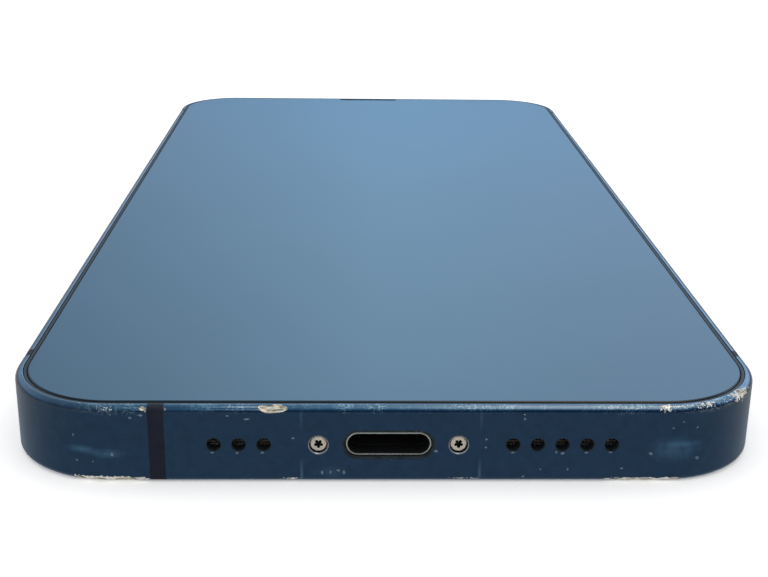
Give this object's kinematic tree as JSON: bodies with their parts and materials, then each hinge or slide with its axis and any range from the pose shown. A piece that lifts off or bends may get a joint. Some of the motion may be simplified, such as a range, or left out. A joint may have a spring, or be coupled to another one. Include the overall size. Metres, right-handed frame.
{
  "type": "smartphone",
  "caption": "Flat-sided touchscreen phone lying on its back: metal band with port, sound holes and screws at one end, side keys, a sliding card tray and rear cameras.",
  "frame": {"origin": "centre of the footprint, at the height of the rear camera rings that the phone lies on", "axes": "+X to the power key side, +Y from the charging port end to the top end, +Z out of the screen"},
  "size_m": [0.0722, 0.1466, 0.0093],
  "materials": {
    "band_metal": "satin anodised, worn on its edges",
    "antenna_plastic": "satin",
    "display_glass": "polished",
    "rear_glass": "polished",
    "camera_glass": "polished",
    "flash_glass": "clear, ribbed",
    "screw_steel": "satin",
    "liner_steel": "polished",
    "plate_steel": "brushed",
    "black_plastic": "fine grain",
    "black_rubber": "matt",
    "mesh_steel": "woven, blackened",
    "panel": "polished",
    "flex_film": "amber film",
    "contact_gold": "gold plated",
    "battery_wrap": "black film over foil",
    "copper_wire": "enamelled wire",
    "magnet_nickel": "nickel plated",
    "board_laminate": "solder mask",
    "camera_black": "fine grain"
  },
  "bodies": {
    "phone": {"band_left": "band_metal", "band_right": "band_metal", "band_bottom": "band_metal", "band_bottom_corner": "band_metal", "band_top": "band_metal", "band_top_corner": "band_metal", "antenna_break_bottom": "antenna_plastic", "antenna_break_top": "antenna_plastic", "antenna_breaks_left": "antenna_plastic", "antenna_breaks_right": "antenna_plastic", "mid_plate": "plate_steel", "rear_glass": "rear_glass", "camera_plateau": "rear_glass", "lens_ring_main": "band_metal", "lens_ring_wide": "band_metal", "lens_window_main": "camera_glass", "lens_window_wide": "camera_glass", "flash_window": "flash_glass", "cover_glass": "display_glass", "display_frame": "black_plastic", "display_gasket": "black_rubber", "display_panel": "panel", "display_shield": "plate_steel", "display_flex": "flex_film", "earpiece_mesh": "mesh_steel", "earpiece_speaker": "black_plastic", "front_camera": "camera_black", "face_sensors": "black_plastic", "bottom_screws": "screw_steel", "port_liner": "liner_steel", "port_receptacle": "black_plastic", "port_contacts": "contact_gold", "port_flex": "flex_film", "microphone_mesh": "mesh_steel", "speaker_mesh": "mesh_steel", "microphone": "black_plastic", "speaker_box": "black_plastic", "haptic_case": "plate_steel", "haptic_springs": "plate_steel", "battery": "battery_wrap", "charging_coil": "copper_wire", "magnet_ring": "magnet_nickel", "main_board": "board_laminate", "board_shields": "plate_steel", "inner_screws": "plate_steel", "camera_housing_main": "camera_black", "camera_housing_wide": "camera_black", "key_switches": "contact_gold", "sim_reader": "plate_steel"},
    "power_key": {"power_key": "band_metal"},
    "volume_up_key": {"volume_up_key": "band_metal"},
    "volume_down_key": {"volume_down_key": "band_metal"},
    "mute_slider": {"mute_switch": "band_metal"},
    "tray": {"sim_tray": "band_metal"},
    "eject_rod": {"eject_rod": "plate_steel"},
    "eject_lever": {"eject_lever": "plate_steel"},
    "haptic_mass": {"haptic_mass": "plate_steel"},
    "speaker_cone": {"speaker_cone": "black_plastic"},
    "main_lens": {"camera_barrel_main": "camera_black"},
    "wide_lens": {"camera_barrel_wide": "camera_black"}
  },
  "joints": [
    {"name": "power_press", "type": "slide", "parent": "phone", "child": "power_key", "axis": [-1, 0, 0], "range_m": [0, 0.00025], "stiffness_N_per_m": 8000},
    {"name": "volume_up_press", "type": "slide", "parent": "phone", "child": "volume_up_key", "axis": [1, 0, 0], "range_m": [0, 0.00025], "stiffness_N_per_m": 8000},
    {"name": "volume_down_press", "type": "slide", "parent": "phone", "child": "volume_down_key", "axis": [1, 0, 0], "range_m": [0, 0.00025], "stiffness_N_per_m": 8000},
    {"name": "mute_slide", "type": "slide", "parent": "phone", "child": "mute_slider", "axis": [0, 0, -1], "range_m": [0, 0.0012]},
    {"name": "tray_slide", "type": "slide", "parent": "phone", "child": "tray", "axis": [-1, 0, 0], "range_m": [0, 0.024]},
    {"name": "eject_push", "type": "slide", "parent": "phone", "child": "eject_rod", "axis": [1, 0, 0], "range_m": [0, 0.0012]},
    {"name": "eject_swing", "type": "hinge", "parent": "phone", "child": "eject_lever", "pos_m": [-0.01315, -0.00265, 0.00553], "axis": [0, 0, 1], "range_deg": [0, 18]},
    {"name": "haptic_shift", "type": "slide", "parent": "phone", "child": "haptic_mass", "axis": [1, 0, 0], "range_m": [-0.0004, 0.0004], "stiffness_N_per_m": 2600, "deforming": ["haptic_springs"]},
    {"name": "cone_stroke", "type": "slide", "parent": "phone", "child": "speaker_cone", "axis": [0, 0, 1], "range_m": [-0.0003, 0.0003], "stiffness_N_per_m": 2500},
    {"name": "main_focus", "type": "slide", "parent": "phone", "child": "main_lens", "axis": [0, 0, -1], "range_m": [0, 0.0002], "stiffness_N_per_m": 100, "springref_m": -0.0005},
    {"name": "wide_focus", "type": "slide", "parent": "phone", "child": "wide_lens", "axis": [0, 0, -1], "range_m": [0, 0.0002], "stiffness_N_per_m": 100, "springref_m": -0.0005}
  ],
  "couplings": [
    {"joint": "eject_swing", "follows": "eject_push", "rad_per_m": 256.41}
  ]
}
